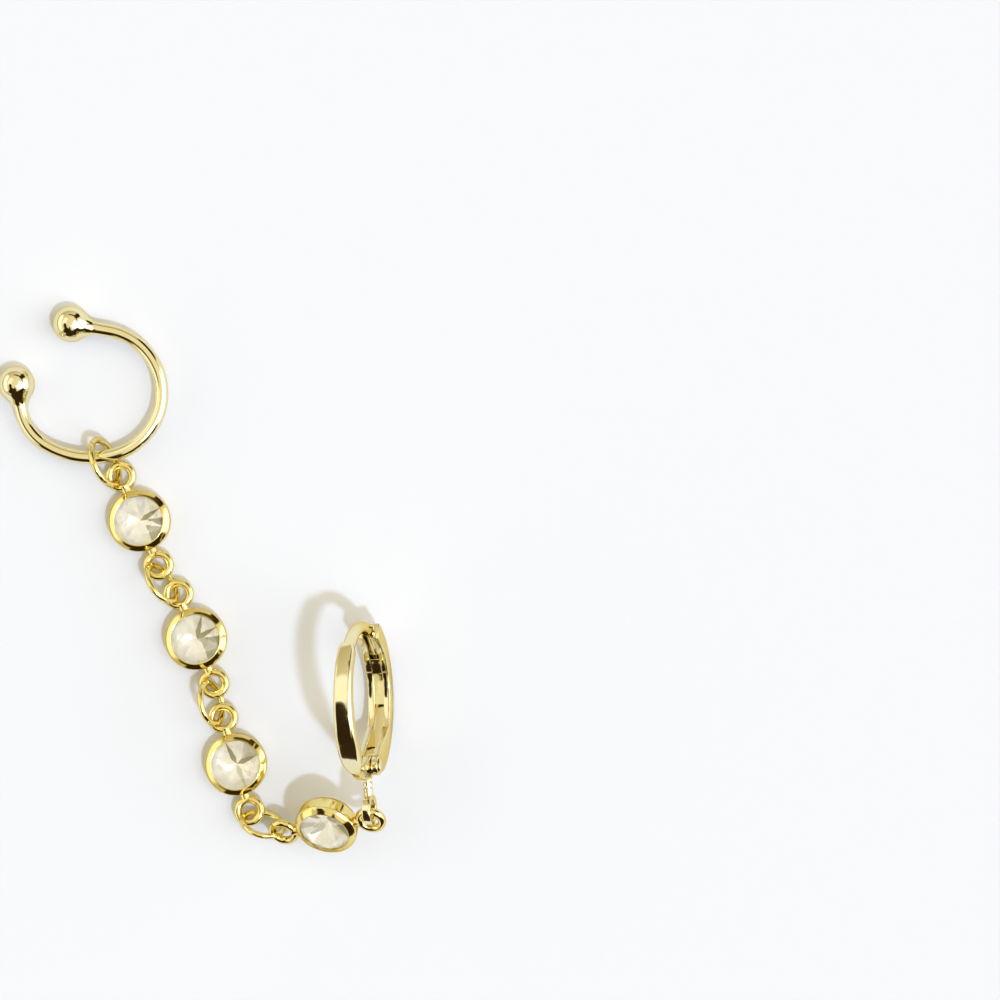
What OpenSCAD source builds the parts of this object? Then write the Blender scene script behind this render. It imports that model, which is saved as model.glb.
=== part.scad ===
// Ear chain earring, lying on a flat surface (z = 0), +Z up, millimetres.
// A ball-ended ear cuff, four bezel-set round stones joined by jump rings, and a hinged lever hoop.

/* [Ear cuff] */
// Diameter of the round cuff wire
cuff_wire_d = 1.1; // [0.9:0.05:1.2]
// Diameter of the ball on each end of the cuff
ball_d = 3.0; // [2.8:0.1:3.2]

/* [Settings] */
// Outside diameter of a bezel at its shoulder
bezel_d = 5.15; // [5.1:0.05:5.25]
// Height of a bezel from its base to the lip
bezel_h = 1.85; // [1.8:0.05:2.0]
// Diameter of the opening in the lip
lip_d = 4.02; // [3.9:0.02:4.06]
// Wire of the soldered end loops
loop_wire_d = 0.6; // [0.5:0.02:0.62]
// Outside diameter of the soldered end loops
loop_d = 2.55; // [2.5:0.05:2.6]

/* [Stones] */
// Girdle diameter of a stone
stone_d = 4.2; // [4.1:0.02:4.24]
// Table width across its corners
table_d = 2.4; // [2.1:0.1:2.8]

/* [Jump rings] */
// Wire of the three rings between the settings
ring_wire_d = 0.5; // [0.44:0.02:0.52]
// Outside diameter of the three rings between the settings
ring_d = 3.9; // [3.86:0.01:3.94]
// Wire of the ring on the cuff
cuff_ring_wire_d = 0.52; // [0.46:0.02:0.54]
// Outside diameter of the ring on the cuff
cuff_ring_d = 4.46; // [4.42:0.01:4.5]

/* [Hoop] */
// Outside diameter of the hoop
hoop_d = 13.0; // [12.9:0.1:13.1]
// Radial thickness of the front band
band_t = 1.0; // [0.9:0.05:1.05]
// Widest width of the front band
band_w = 1.7; // [1.5:0.05:1.8]
// Width of the front band at its upper end
band_top_w = 1.3; // [1.2:0.05:1.4]
// Diameter of the ear post
post_d = 1.0; // [0.8:0.05:1.05]
// Width of the lever over its two walls
lever_w = 1.86; // [1.8:0.02:2.1]
// Width of the channel between the lever walls
channel_w = 0.8; // [0.8:0.02:0.9]
// Diameter of the hinge pin
pin_d = 0.7; // [0.6:0.02:0.72]

/* [Fits] */
// Radial gap between the hinge pin and the bores around it
pin_gap = 0.04; // [0.03:0.005:0.06]
// Gap left between pieces that lie against each other
seat_gap = 0.05; // [0.04:0.01:0.07]

/* [Hidden] */
$fn = 60;

// Height of the loops above the base of a bezel
loop_z = 0.98;
// Distance from the middle of a bezel to the middle of a loop
loop_reach = 4.0;
loop_r = (loop_d - loop_wire_d) / 2;

// Middle of each flat setting on the surface, and the direction of its first loop
set_pos = [[-4.72, 4.69], [-0.03, -5.10], [3.29, -15.50]];
set_dir = [113, 111.8, 106];

// The raised fourth setting: middle of its loop plane, long axis and facing direction
set4_mid = [11.01, -20.22, 3.91];
set4_axis = unit([3.72, 0.70, 1.50]);
set4_face = unit(cross([cos(18), -sin(18), 0], set4_axis));

// Cuff: joint of the main and the second bend, where the jump ring hangs, height of the wire
// and the three tangent bends
cuff_joint = [-6.72, 10.19];
cuff_z = ball_d / 2;
cuff_r1 = 5.25;
cuff_r2 = 7.45;
cuff_r3 = 4.30;
cuff_a0 = 80;
cuff_a1 = -75;
cuff_a2 = -120;
cuff_a3 = -170;
cuff_tail1 = 3.2;
cuff_tail2 = 2.12;
cuff_mid = cuff_joint - polar(cuff_r1, cuff_a1);
collar_d = cuff_wire_d + 0.04;
collar_w = 0.5;

// Hoop: middle, turn about the vertical and lean of the standing hoop; in the hoop's own plane,
// where the lever starts and where the post's thin tip ends in it
hoop_mid = [14.09, -9.68, 6.62];
hoop_yaw = 2.1;
hoop_lean = 11.7;
hoop_r = hoop_d / 2;
post_r = hoop_r - 0.7;
tip_d = 0.7;
lever_top = 203;
tip_end = 234;
eyelet_x = hoop_r + 2.54;
eyelet_turn = -5.2;
eyelet_d = 2.5;
eyelet_t = 0.48;
eyelet_w = 0.7;
pin_pos = [5.45, -1.0];
ear_r = 0.8;
tongue_w = channel_w - 2 * seat_gap;
head_t = 0.2;
head_d = 1.15;

function unit(v) = v / norm(v);
function polar(r, a) = [r * cos(a), r * sin(a)];

// Middle of one loop of a flat setting: side 1 towards the cuff, side -1 towards the hoop
function loop_mid(i, side) =
    [set_pos[i][0], set_pos[i][1], loop_z] + side * loop_reach * [cos(set_dir[i]), sin(set_dir[i]), 0];

// Direction that leans away from the vertical towards a turn about it
function leaning(lean, turn) = [sin(lean) * cos(turn), sin(lean) * sin(turn), cos(lean)];

// Ring on the cuff: its place seen from the first loop, its lean and its turn
cuff_ring_off = [-1.12, 1.14, 1.16];
cuff_ring_lean = 71;
cuff_ring_turn = 22;

// The two rings between flat settings: how far each stands sideways and up from the middle
// between its loops, and its lean
link_side = 0.5;
link_up = 0.85;
link_lean = 67;

// Ring under the raised setting: its place seen from the middle between its loops, lean and turn
last_ring_off = [-0.29, -0.21, 0.10];
last_ring_lean = 65;
last_ring_turn = 74;

// Sideways direction of the gap between two flat settings, away from the hoop
function gap_side(i) = unit(cross(loop_mid(i + 1, 1) - loop_mid(i, -1), [0, 0, 1]));

// Middle and axis of each ring between the settings
function link_mid(i) =
    (loop_mid(i, -1) + loop_mid(i + 1, 1)) / 2 + link_side * gap_side(i) + [0, 0, link_up];
function link_axis(i) = [0, 0, cos(link_lean)] - sin(link_lean) * gap_side(i);
last_ring_mid = (loop_mid(2, -1) + set4_mid - loop_reach * set4_axis) / 2 + last_ring_off;
ring_r = (ring_d - ring_wire_d) / 2;
cuff_ring_r = (cuff_ring_d - cuff_ring_wire_d) / 2;

// Turns the local Z axis to a direction at a place
module aim(p, dir) {
    d = unit(dir);
    translate(p)
        rotate([0, acos(d[2]), atan2(d[1], d[0])])
            children();
}

// Sets local X along one direction and local Z along another, at a place
module set_frame(p, x, z) {
    y = cross(z, x);
    multmatrix([
        [x[0], y[0], z[0], p[0]],
        [x[1], y[1], z[1], p[1]],
        [x[2], y[2], z[2], p[2]],
        [0, 0, 0, 1]])
        children();
}

// Puts hoop parts, drawn flat with the eyelet along +X, into the standing place
module stand_hoop() {
    translate(hoop_mid)
        rotate([0, 0, hoop_yaw])
            rotate([0, -hoop_lean, 0])
                rotate([90, 0, -90])
                    children();
}

// Round wire ring about local Z
module wire_ring(r, d) {
    rotate_extrude()
        translate([r, 0])
            circle(d = d, $fn = 24);
}

// Part of a round wire ring, from angle a0 to angle a1
module wire_arc(r, d, a0, a1) {
    rotate([0, 0, a0])
        rotate_extrude(angle = a1 - a0)
            translate([r, 0])
                circle(d = d, $fn = 24);
}

// Flat slice of a ring between two angles less than 180 degrees apart
module ring_slice(ri, ro, a0, a1) {
    am = (a0 + a1) / 2;
    far = 3 * ro;
    intersection() {
        difference() {
            circle(r = ro);
            circle(r = ri);
        }
        polygon([[0, 0], polar(far, a0), polar(far, am), polar(far, a1)]);
    }
}

// Straight wire between two points of the plane, at a height
module wire_run(a, b, d, z) {
    aim([a[0], a[1], z], [b[0] - a[0], b[1] - a[1], 0])
        cylinder(d = d, h = norm(b - a), $fn = 24);
}

// One bend of the cuff wire, a hair short of the joint at each end
module bend(m, r, a0, a1) {
    translate([m[0], m[1], cuff_z])
        wire_arc(r, cuff_wire_d, a0 + 0.3, a1 - 0.3);
}

// Short sleeve round the wire that closes the joint of two bends
module collar(p, dir) {
    aim([p[0], p[1], cuff_z] - collar_w / 2 * [dir[0], dir[1], 0], [dir[0], dir[1], 0])
        cylinder(d = collar_d, h = collar_w, $fn = 24);
}

// Ball end with the short cone that flows into the wire
module ball_end(ball, along) {
    aim([ball[0], ball[1], cuff_z], [along[0], along[1], 0])
        rotate_extrude() {
            intersection() {
                circle(d = ball_d);
                translate([0, -ball_d])
                    square([ball_d, 2 * ball_d]);
            }
            polygon([[0, 1.1], [0.95, 1.1], [cuff_wire_d / 2 + 0.04, 2.05], [0, 2.05]]);
        }
}

// Open cuff of round wire in three tangent bends with straight ends and two balls
module ear_cuff() {
    m1 = cuff_mid;
    m2 = m1 + polar(cuff_r1 - cuff_r2, cuff_a1);
    m3 = m2 + polar(cuff_r2 - cuff_r3, cuff_a2);
    e1 = m1 + polar(cuff_r1, cuff_a0);
    e3 = m3 + polar(cuff_r3, cuff_a3);
    t1 = polar(1, cuff_a0 + 90);
    t3 = polar(1, cuff_a3 - 90);
    b1 = e1 + cuff_tail1 * t1;
    b3 = e3 + cuff_tail2 * t3;
    j2 = m2 + polar(cuff_r2, cuff_a2);
    color("Gold") {
        bend(m1, cuff_r1, cuff_a1, cuff_a0);
        bend(m2, cuff_r2, cuff_a2, cuff_a1);
        bend(m3, cuff_r3, cuff_a3, cuff_a2);
        wire_run(e1 + 0.03 * t1, b1, cuff_wire_d, cuff_z);
        wire_run(e3 + 0.03 * t3, b3, cuff_wire_d, cuff_z);
        collar(e1, t1);
        collar(cuff_joint, polar(1, cuff_a1 + 90));
        collar(j2, polar(1, cuff_a2 + 90));
        collar(e3, t3);
        ball_end(b1, -t1);
        ball_end(b3, -t3);
    }
}

// Round wire jump ring about an axis
module jump_ring(middle, axis, r, d) {
    color("Goldenrod")
        aim(middle, axis)
            wire_ring(r, d);
}

// Bezel cup with a turned-over lip, an open back and a soldered loop on each end
module setting() {
    rs = stone_d / 2 + seat_gap;
    ro = bezel_d / 2;
    rotate_extrude()
        polygon([
            [0.9, 0], [ro - 0.28, 0], [ro - 0.06, 0.35], [ro, bezel_h - 0.7],
            [ro, bezel_h - 0.42], [ro - 0.1, bezel_h - 0.3], [lip_d / 2 + 0.05, bezel_h],
            [lip_d / 2, bezel_h], [lip_d / 2, bezel_h - 0.1],
            [rs, bezel_h - 0.22], [rs, bezel_h - 0.5],
            [rs - 0.25, bezel_h - 0.62], [0.9, 0.4]]);
    for (s = [-1, 1]) {
        translate([s * loop_reach, 0, loop_z])
            wire_ring(loop_r, loop_wire_d);
        translate([s * (ro - 0.3), 0, loop_z])
            rotate([0, s * 90, 0])
                cylinder(d1 = 1.0, d2 = 0.7, h = loop_reach - loop_r - ro + 0.35);
    }
}

// Flat settings lie on the surface; the fourth is raised and faces sideways
module flat_setting(i) {
    color("Goldenrod")
        translate([set_pos[i][0], set_pos[i][1], 0])
            rotate([0, 0, set_dir[i]])
                setting();
}

module raised_setting() {
    color("Goldenrod")
        set_frame(set4_mid - loop_z * set4_face, set4_axis, set4_face)
            setting();
}

// Round brilliant stone: table, 32 crown facets, a girdle and 24 pavilion facets
module brilliant() {
    rg = stone_d / 2;
    rt = table_d / 2;
    zg = bezel_h - 0.30;
    girdle = 0.08;
    zt = zg + 0.55;
    zb = zg - girdle;
    zc = 0.16;
    slope = (zt - zg) / (rg - rt);
    rk = rt + 0.42 * (rg - rt);
    zk = zt - slope * (rk * cos(22.5) - rt);
    rp = 0.28 * rg;
    zp = zc + (zb - zc) / rg * rp * cos(22.5);
    pts = concat(
        [for (i = [0:7]) [rt * cos(45 * i), rt * sin(45 * i), zt]],
        [for (i = [0:7]) [rk * cos(45 * i + 22.5), rk * sin(45 * i + 22.5), zk]],
        [for (i = [0:15]) [rg * cos(22.5 * i), rg * sin(22.5 * i), zg]],
        [for (i = [0:15]) [rg * cos(22.5 * i), rg * sin(22.5 * i), zb]],
        [for (i = [0:7]) [rp * cos(45 * i + 22.5), rp * sin(45 * i + 22.5), zp]],
        [[0, 0, zc]]);
    table = [[for (i = [7:-1:0]) i]];
    stars = [for (i = [0:7]) [i, (i + 1) % 8, 8 + i]];
    kite_a = [for (i = [0:7]) [i, 8 + i, 16 + 2 * i]];
    kite_b = [for (i = [0:7]) [i, 16 + 2 * i, 8 + (i + 7) % 8]];
    upper_a = [for (i = [0:7]) [8 + i, 17 + 2 * i, 16 + 2 * i]];
    upper_b = [for (i = [0:7]) [8 + i, 16 + (2 * i + 2) % 16, 17 + 2 * i]];
    band_a = [for (i = [0:15]) [16 + i, 16 + (i + 1) % 16, 32 + i]];
    band_b = [for (i = [0:15]) [16 + (i + 1) % 16, 32 + (i + 1) % 16, 32 + i]];
    lower_a = [for (i = [0:7]) [32 + 2 * i, 33 + 2 * i, 48 + i]];
    lower_b = [for (i = [0:7]) [33 + 2 * i, 32 + (2 * i + 2) % 16, 48 + i]];
    main_a = [for (i = [0:7]) [32 + 2 * i, 48 + i, 56]];
    main_b = [for (i = [0:7]) [32 + 2 * i, 56, 48 + (i + 7) % 8]];
    polyhedron(pts, concat(table, stars, kite_a, kite_b, upper_a, upper_b,
        band_a, band_b, lower_a, lower_b, main_a, main_b));
}

module flat_stone(i) {
    color("White")
        translate([set_pos[i][0], set_pos[i][1], 0])
            rotate([0, 0, set_dir[i] + 9])
                brilliant();
}

module raised_stone() {
    color("White")
        set_frame(set4_mid - loop_z * set4_face, set4_axis, set4_face)
            rotate([0, 0, 9])
                brilliant();
}

// Outline of the front band seen along its thickness: wide at the hinge, narrow at both ends
module band_plan() {
    w0 = tip_d / 2;
    w1 = band_top_w / 2;
    w2 = band_w / 2;
    half = [
        [-5.0, w0], [-4.2, w1], [4.0, w2], [4.7, w2 - 0.08],
        [5.4, tongue_w / 2], [hoop_r + 0.7, eyelet_w / 2]];
    polygon(concat(
        [for (p = half) p],
        [for (i = [len(half) - 1:-1:0]) [half[i][0], -half[i][1]]]));
}

// Front of the hoop: band, ear post with a thin tip, hinge tongue and bottom eyelet
module hoop_front() {
    ri = hoop_r - band_t;
    color("Gold")
        stand_hoop()
            difference() {
                union() {
                    intersection() {
                        linear_extrude(2 * band_w, center = true) {
                            ring_slice(ri, hoop_r, -9, 90);
                            ring_slice(ri, hoop_r, 89, 139);
                        }
                        translate([0, 10, 0])
                            rotate([90, 0, 0])
                                linear_extrude(20)
                                    band_plan();
                    }
                    wire_arc(post_r, post_d, 129, lever_top - 2);
                    wire_arc(post_r, tip_d, lever_top - 4, tip_end);
                    linear_extrude(tongue_w, center = true) {
                        translate(pin_pos)
                            circle(r = ear_r);
                        polygon([
                            [4.9, -0.45], [5.4, -1.79], [6.0, -1.5], [6.35, -0.3],
                            [6.2, 1.5], [5.6, 1.9], [5.2, 1.2]]);
                    }
                    rotate([0, 0, eyelet_turn])
                        linear_extrude(eyelet_w, center = true) {
                            translate([hoop_r - 0.5, -0.4])
                                square([eyelet_x - hoop_r - eyelet_d / 2 + 0.75, 0.8]);
                            translate([eyelet_x, 0])
                                difference() {
                                    circle(d = eyelet_d);
                                    circle(d = eyelet_d - 2 * eyelet_t);
                                }
                        }
                }
                translate(concat(pin_pos, 0))
                    cylinder(d = pin_d + 2 * pin_gap, h = 4, center = true);
            }
}

// Side outline of one lever wall, from the head at the post to the hinge ear
module lever_wall_plan() {
    ring_slice(hoop_r - 1.25, hoop_r, 248, 325);
    ring_slice(hoop_r - 1.3, hoop_r, lever_top, 250);
    translate(pin_pos)
        circle(r = ear_r);
    polygon([
        polar(hoop_r - 1.25, 300), polar(hoop_r - 0.3, 300), polar(hoop_r, 324.9),
        polar(hoop_r, 338), pin_pos + [0.77, 0.2], pin_pos + [-0.78, -0.18]]);
}

// Lever: a channel with two walls round the post's tip, a stop block, a plate and ears on the pin
module lever() {
    wall = (lever_w - channel_w) / 2;
    color("Gold")
        stand_hoop()
            difference() {
                union() {
                    for (s = [-1, 1])
                        translate([0, 0, s * (channel_w + wall) / 2])
                            linear_extrude(wall, center = true)
                                lever_wall_plan();
                    linear_extrude(channel_w + 0.2, center = true) {
                        ring_slice(hoop_r - 0.25, hoop_r, lever_top, tip_end + 4);
                        ring_slice(hoop_r - 1.15, hoop_r, tip_end + 3, 252);
                        ring_slice(hoop_r - 1.05, hoop_r, 251, 279);
                        intersection() {
                            ring_slice(4.5, hoop_r, 267, 318);
                            polygon([[-0.3, -5.9], [0.6, -5.9], [4.2, -3.7], [7, -3.8], [7, -8], [-0.3, -8]]);
                        }
                    }
                }
                translate(concat(pin_pos, 0))
                    cylinder(d = pin_d + 2 * pin_gap, h = 4, center = true);
            }
}

// Hinge pin with a low head on each side of the lever
module hinge_pin() {
    half = lever_w / 2 + seat_gap;
    color("Gold")
        stand_hoop()
            translate(concat(pin_pos, 0)) {
                cylinder(d = pin_d, h = 2 * half + 0.1, center = true);
                for (s = [-1, 1])
                    translate([0, 0, s * (half + head_t / 2)])
                        cylinder(d = head_d, h = head_t, center = true);
            }
}

ear_cuff();
jump_ring(loop_mid(0, 1) + cuff_ring_off, leaning(cuff_ring_lean, cuff_ring_turn),  // cuff_jump_ring
        cuff_ring_r, cuff_ring_wire_d);
flat_setting(0);  // setting_1
flat_setting(1);  // setting_2
flat_setting(2);  // setting_3
raised_setting();  // setting_4
flat_stone(0);  // stone_1
flat_stone(1);  // stone_2
flat_stone(2);  // stone_3
raised_stone();  // stone_4
jump_ring(link_mid(0), link_axis(0), ring_r, ring_wire_d);  // link_ring_1
jump_ring(link_mid(1), link_axis(1), ring_r, ring_wire_d);  // link_ring_2
jump_ring(last_ring_mid, leaning(last_ring_lean, last_ring_turn), ring_r, ring_wire_d);  // link_ring_3
hoop_front();
lever();
hinge_pin();
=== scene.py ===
"""Ear chain earring on a pale surface: its finishes, its pieces, its light and its view."""

from __future__ import annotations

import logging
from collections.abc import Sequence
from dataclasses import dataclass, field
from enum import Enum
from math import ceil, cos, degrees, exp, pi, radians, sin, sqrt

import bmesh
import bpy
from mathutils import Matrix, Vector


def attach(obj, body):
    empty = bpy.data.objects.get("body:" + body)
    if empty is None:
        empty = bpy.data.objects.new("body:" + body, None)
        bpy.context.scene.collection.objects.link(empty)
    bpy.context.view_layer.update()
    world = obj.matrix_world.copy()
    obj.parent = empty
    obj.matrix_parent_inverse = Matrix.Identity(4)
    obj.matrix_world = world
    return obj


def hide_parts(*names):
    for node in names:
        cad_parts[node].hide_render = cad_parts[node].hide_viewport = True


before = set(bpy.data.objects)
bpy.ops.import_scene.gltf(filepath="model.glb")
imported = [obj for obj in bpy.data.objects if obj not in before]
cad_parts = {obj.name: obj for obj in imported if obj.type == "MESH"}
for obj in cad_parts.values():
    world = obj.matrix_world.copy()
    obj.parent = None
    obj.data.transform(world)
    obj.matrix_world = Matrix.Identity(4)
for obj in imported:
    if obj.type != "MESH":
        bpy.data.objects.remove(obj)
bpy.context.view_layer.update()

log = logging.getLogger("ear_chain")

MM = 0.001
UP = Vector((0, 0, 1))

# How many sides the rounding of an outline's corner and of a plate's edge has
CORNER_SIDES = 4
EDGE_SIDES = 3
# A plate's edges that turn more than the first are rounded, and a smooth piece's more than the
# second stay sharp
ROUNDED_FROM = radians(24)
SHARP_FROM = radians(38)

# Facet directions are stepped by this, so that a flat facet has one painted shade all over
FACET_STEP = 0.06
# The part of a soft pattern's values that is stretched into its patches
PATCHES_SEEN = (0.4, 0.8)

# A colour mix's settings, and the numbers of its inputs and of its result
COLOUR_MIX = {"data_type": "RGBA", "clamp_factor": True}
SHARE, FIRST, SECOND, MIXED = 0, 6, 7, 2
# A dot product's settings, and the number of its result
DOT_PRODUCT = {"operation": "DOT_PRODUCT"}
DOT = 1

Point = tuple[float, float]
Triple = tuple[float, float, float]
Colour = tuple[float, float, float, float]
Inputs = dict[str | int, object]
Outline = Sequence[Point]
Ring = list[Vector]
Material, Tree = bpy.types.Material, bpy.types.NodeTree
Node, Socket = bpy.types.Node, bpy.types.NodeSocket


class Slot(Enum):
    """The record's material slots."""

    PALE_GOLD = "pale_gold_plate"
    YELLOW_GOLD = "yellow_gold_plate"
    STONE = "cubic_zirconia"


class Body(Enum):
    """The rigid bodies that pieces ride on."""

    CHAIN = "chain_and_hoop"
    LEVER = "back_lever"


# Colours and shader nodes


def linear_colour(hex_text: str, level: float = 1.0) -> Colour:
    """Turns an sRGB hex colour into a linear one.

    Args:
        hex_text: six hex digits with a leading hash.
        level: a brightness that the colour is multiplied by.

    Returns:
        Linear red, green, blue and an alpha of one.
    """
    parts = [int(hex_text[i : i + 2], 16) / 255 for i in (1, 3, 5)]
    linear = [c / 12.92 if c <= 0.04045 else ((c + 0.055) / 1.055) ** 2.4 for c in parts]
    return (linear[0] * level, linear[1] * level, linear[2] * level, 1.0)


def add_node(
    tree: Tree,
    kind: str,
    settings: dict[str, object] | None = None,
    inputs: Inputs | None = None,
) -> Node:
    """Adds one shader node with its settings and its inputs.

    Args:
        tree: the node tree that takes the node.
        kind: the node's type name, without the start that all shader nodes share.
        settings: properties of the node itself.
        inputs: for each named or numbered input, a value, another node's output, or another
            node, which stands for its first output.

    Returns:
        The new node.
    """
    node = tree.nodes.new(f"ShaderNode{kind}")
    for name, value in (settings or {}).items():
        setattr(node, name, value)
    for name, value in (inputs or {}).items():
        value = value.outputs[0] if isinstance(value, Node) else value
        if isinstance(value, Socket):
            tree.links.new(value, node.inputs[name])
        else:
            node.inputs[name].default_value = value
    return node


def ramp(value: Node | Socket, seen: Point, given: Point = (0.0, 1.0)) -> Inputs:
    """The inputs that turn one range of values into another.

    Args:
        value: the value that comes in.
        seen: the values where the range starts and ends.
        given: what comes out at each of them.

    Returns:
        The inputs by name.
    """
    names = ("From Min", "From Max", "To Min", "To Max")
    return {"Value": value, **dict(zip(names, (*seen, *given)))}


def painted_facet_shades(
    tree: Tree, light: str, dark: str, dark_towards: Triple, spread: Point
) -> Socket:
    """Adds the nodes that paint each flat facet lighter or darker, from how it faces: painted
    reflections and painted shade.

    Args:
        tree: the material's tree.
        light: the colour of most facets.
        dark: the colour of the darkest facets.
        dark_towards: the side whose facets are darker.
        spread: the chance value where the darkening starts, and where it is full.

    Returns:
        The colour.
    """
    # Painted shade and painted reflections: each facet is made lighter or darker by chance and by
    # how far it faces the darker side
    facing = add_node(tree, "NewGeometry").outputs["True Normal"]
    step = (FACET_STEP, FACET_STEP, FACET_STEP)
    stepped = add_node(tree, "VectorMath", {"operation": "SNAP"}, {0: facing, 1: step})
    dice = add_node(tree, "TexWhiteNoise", {"noise_dimensions": "3D"}, {"Vector": stepped})
    aside = add_node(tree, "VectorMath", DOT_PRODUCT, {0: facing, 1: dark_towards})
    chance = add_node(tree, "Math", {"operation": "ADD"}, {0: dice, 1: aside.outputs[DOT]})
    share = add_node(tree, "MapRange", inputs=ramp(chance, spread))
    colours = {SHARE: share, FIRST: linear_colour(light), SECOND: linear_colour(dark)}
    return add_node(tree, "Mix", COLOUR_MIX, colours).outputs[MIXED]


# Finishes


@dataclass(frozen=True)
class Finish:
    """A real surface with one shader; each kind of surface gives the shader's inputs."""

    name: str

    def inputs(self, tree: Tree) -> Inputs:
        """The shader's inputs; each kind of surface has its own."""
        raise NotImplementedError

    def build(self) -> Material:
        """Makes the material.

        Returns:
            The material, with its one shader on the finish's own inputs.
        """
        material = bpy.data.materials.new(self.name)
        material.use_nodes = True
        tree = material.node_tree
        tree.nodes.clear()
        shader = add_node(tree, "BsdfPrincipled", inputs=self.inputs(tree))
        add_node(tree, "OutputMaterial", inputs={"Surface": shader})
        return material

    @staticmethod
    def mottle(tree: Tree, size_mm: float, detail: float) -> Node:
        """Adds a soft random pattern of one real size, in the piece's own coordinates.

        Args:
            tree: the material's tree.
            size_mm: the size of one patch of the pattern.
            detail: how many finer layers it has.

        Returns:
            The pattern's value.
        """
        place = add_node(tree, "TexCoord").outputs["Object"]
        pattern = {"Vector": place, "Scale": 1 / (size_mm * MM), "Detail": detail}
        return add_node(tree, "TexNoise", inputs=pattern)

    def patches(self, tree: Tree, size_mm: float, given: Point) -> Node:
        """Adds a value that differs in soft patches.

        Args:
            tree: the material's tree.
            size_mm: the size of one patch.
            given: the values outside the patches and in them.

        Returns:
            The value.
        """
        marks = self.mottle(tree, size_mm, 2.0)
        return add_node(tree, "MapRange", inputs=ramp(marks, PATCHES_SEEN, given))


@dataclass(frozen=True)
class PolishedGoldPlate(Finish):
    """Gold electroplate on polished brass: a mirror with a faint haze, slow waves and hairlines."""

    bright: str
    deep: str
    edge: str = "#ead596"
    roughness: float = 0.08
    haze: Point = (0.7, 1.6)
    cloud_mm: float = 1.6
    wave_mm: float = 0.9
    wave_depth_mm: float = 0.012
    wave_share: float = 0.35
    # Real hairlines are about 0.005 mm wide; these are ten times coarser, so that they show
    hairline_mm: float = 0.05
    hairline_depth_mm: float = 0.0015
    hairline_share: float = 0.12
    hairline_seen: Point = (0.3, 0.75)

    def inputs(self, tree: Tree) -> Inputs:
        """The shader's inputs.

        Args:
            tree: the material's tree.

        Returns:
            Colour clouds, haze in the roughness, and waves and hairlines in the bump.
        """
        bright, deep = linear_colour(self.bright), linear_colour(self.deep)
        clouds = {SHARE: self.mottle(tree, self.cloud_mm, 3.0), FIRST: bright, SECOND: deep}
        hairline = self.mottle(tree, self.hairline_mm, 2.0)
        haze = (self.roughness * self.haze[0], self.roughness * self.haze[1])
        waves = {
            "Strength": self.wave_share,
            "Distance": self.wave_depth_mm * MM,
            "Height": self.mottle(tree, self.wave_mm, 1.0),
        }
        lines = {
            "Strength": self.hairline_share,
            "Distance": self.hairline_depth_mm * MM,
            "Height": hairline,
            "Normal": add_node(tree, "Bump", inputs=waves),
        }
        rough = add_node(tree, "MapRange", inputs=ramp(hairline, self.hairline_seen, haze))
        return {
            "Base Color": add_node(tree, "Mix", COLOUR_MIX, clouds).outputs[MIXED],
            "Metallic": 1.0,
            "Specular Tint": linear_colour(self.edge),
            "Roughness": rough,
            "Normal": add_node(tree, "Bump", inputs=lines),
        }


@dataclass(frozen=True)
class CutZirconia(Finish):
    """Cut cubic zirconia: clear and shiny, with the faintest polishing marks on its facets.

    The real one bends light by 2.15. Its coat shines like that, and its body bends less, since
    the pavilion below, with its painted reflections, already throws the light back up. Its facets
    carry a faint painted shade, darker on those that face one side.
    """

    colour: str = "#ffffff"
    # The painted shade of the facets that face the darker side
    shade: str = "#ece7d2"
    painted_shade_side: Triple = (0.25, 0.25, 0.0)
    painted_shade_spread: Point = (0.55, 0.9)
    bending: float = 1.28
    shine: float = 2.15
    shine_share: float = 0.35
    shine_roughness: float = 0.01
    polish_mm: float = 0.4
    polish: Point = (0.0, 0.03)

    def inputs(self, tree: Tree) -> Inputs:
        """The shader's inputs.

        Args:
            tree: the material's tree.

        Returns:
            A clear body with a faint painted shade facet by facet, under a bright coat.
        """
        return {
            "Base Color": painted_facet_shades(
                tree, self.colour, self.shade, self.painted_shade_side, self.painted_shade_spread
            ),
            "Roughness": self.patches(tree, self.polish_mm, self.polish),
            "IOR": self.bending,
            "Transmission Weight": 1.0,
            "Coat Weight": self.shine_share,
            "Coat IOR": self.shine,
            "Coat Roughness": self.shine_roughness,
        }


@dataclass(frozen=True)
class BrightPavilion(Finish):
    """Pavilion of a cut stone, which throws light back up: painted reflections on its facets, white
    and olive-grey.
    """

    # The painted reflections: white facets, and olive-grey ones towards the darker side
    colour: str = "#fffbee"
    shade: str = "#9f9772"
    painted_shade_side: Triple = (-0.6, -0.5, 0.0)
    painted_shade_spread: Point = (0.74, 1.1)
    mirror: float = 0.3
    # A painted glow, for the key light that the crown bends away from the pavilion
    painted_glow: float = 0.14
    haze_mm: float = 0.5
    haze: Point = (0.02, 0.12)

    def inputs(self, tree: Tree) -> Inputs:
        """The shader's inputs.

        Args:
            tree: the material's tree.

        Returns:
            A half-mirror whose facets each have their own painted brightness, with a painted glow.
        """
        colour = painted_facet_shades(tree, self.colour, self.shade, self.painted_shade_side, self.painted_shade_spread)
        return {
            "Base Color": colour,
            "Metallic": self.mirror,
            "Roughness": self.patches(tree, self.haze_mm, self.haze),
            # The crown bends the key light away from the pavilion, so its share is given back here
            # as a painted glow
            "Emission Color": colour,
            "Emission Strength": self.painted_glow,
        }


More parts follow.
